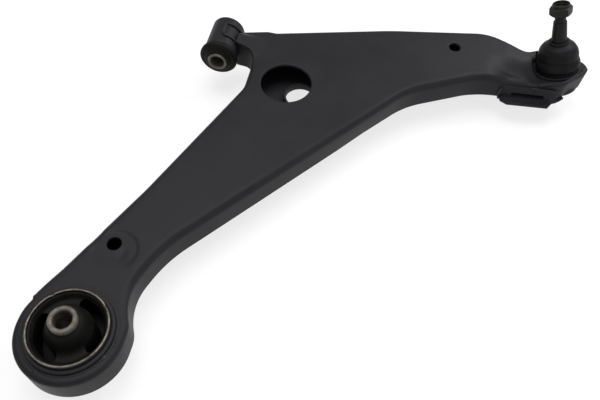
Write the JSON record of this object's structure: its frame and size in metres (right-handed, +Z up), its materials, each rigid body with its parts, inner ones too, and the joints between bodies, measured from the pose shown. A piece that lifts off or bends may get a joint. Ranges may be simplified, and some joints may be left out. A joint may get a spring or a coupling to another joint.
{
  "type": "control arm",
  "caption": "Triangular pressed-steel lower control arm with an upright rear rubber bush, a lying front bush in a welded tube and a booted ball joint at its outer end.",
  "frame": {"origin": "middle of the rear bush's bore, on its axis", "axes": "+Z up along the rear bush's axis, +Y forward along the front bush's axis, +X outboard towards the ball joint"},
  "size_m": [0.4509, 0.4526, 0.1126],
  "materials": {
    "coated_steel": "satin black dip coat",
    "coated_weld": "black coat over a rippled weld bead",
    "sleeve_steel": "dull turned edge",
    "bare_sleeve": "bare machined face",
    "bush_rubber": "moulded, matte",
    "housing_steel": "black coated forging",
    "seat_plastic": "natural acetal",
    "spring_steel": "dark oiled",
    "boot_rubber": "smooth matte",
    "stud_steel": "dark phosphate",
    "nut_steel": "dark olive plated"
  },
  "bodies": {
    "arm": {"upper_shell": "coated_steel", "lower_shell": "coated_steel", "seam_weld": "coated_weld", "outer_end_bracket": "coated_steel", "bracket_weld": "coated_weld", "rear_bush_collar": "coated_steel", "rear_collar_weld": "coated_weld", "rear_bush_outer_sleeve": "sleeve_steel", "rear_bush_rubber": "bush_rubber", "front_bush_tube": "coated_steel", "front_tube_weld": "coated_weld", "front_bush_outer_sleeve": "sleeve_steel", "front_bush_rubber": "bush_rubber", "ball_joint_housing": "housing_steel", "housing_weld": "coated_weld", "preload_spring": "spring_steel", "closing_cover": "housing_steel", "boot_clamp_ring": "spring_steel", "dust_boot": "boot_rubber"},
    "rear_sleeve": {"rear_bush_inner_sleeve": "bare_sleeve"},
    "front_sleeve": {"front_bush_inner_sleeve": "bare_sleeve"},
    "ball_swivel": {"bearing_seat": "seat_plastic"},
    "ball_tilt": {"boot_top_ring": "spring_steel"},
    "stud": {"ball_stud": "stud_steel", "stud_nut": "nut_steel"}
  },
  "joints": [
    {"name": "rear_bush_tilt", "type": "hinge", "parent": "arm", "child": "rear_sleeve", "pos_m": [0, 0, 0], "axis": [0, 1, 0], "range_deg": [-12, 12], "stiffness_Nm_per_rad": 40, "deforming": ["rear_bush_rubber"]},
    {"name": "front_bush_twist", "type": "hinge", "parent": "arm", "child": "front_sleeve", "pos_m": [0.031, 0.3335, 0.007], "axis": [0, 1, 0], "range_deg": [-20, 20], "stiffness_Nm_per_rad": 60},
    {"name": "ball_swivel_turn", "type": "hinge", "parent": "arm", "child": "ball_swivel", "pos_m": [0.38217, 0.37782, 0.00044], "axis": [-0.2952, 0.2306, 0.9272], "range_deg": [-90, 90]},
    {"name": "ball_stud_tilt", "type": "hinge", "parent": "ball_swivel", "child": "ball_tilt", "pos_m": [0.38217, 0.37782, 0.00044], "axis": [0.6157, 0.788, 0], "range_deg": [-25, 25], "deforming": ["dust_boot"]},
    {"name": "ball_stud_spin", "type": "hinge", "parent": "ball_tilt", "child": "stud", "pos_m": [0.38217, 0.37782, 0.00044], "axis": [-0.2952, 0.2306, 0.9272], "continuous": true}
  ]
}
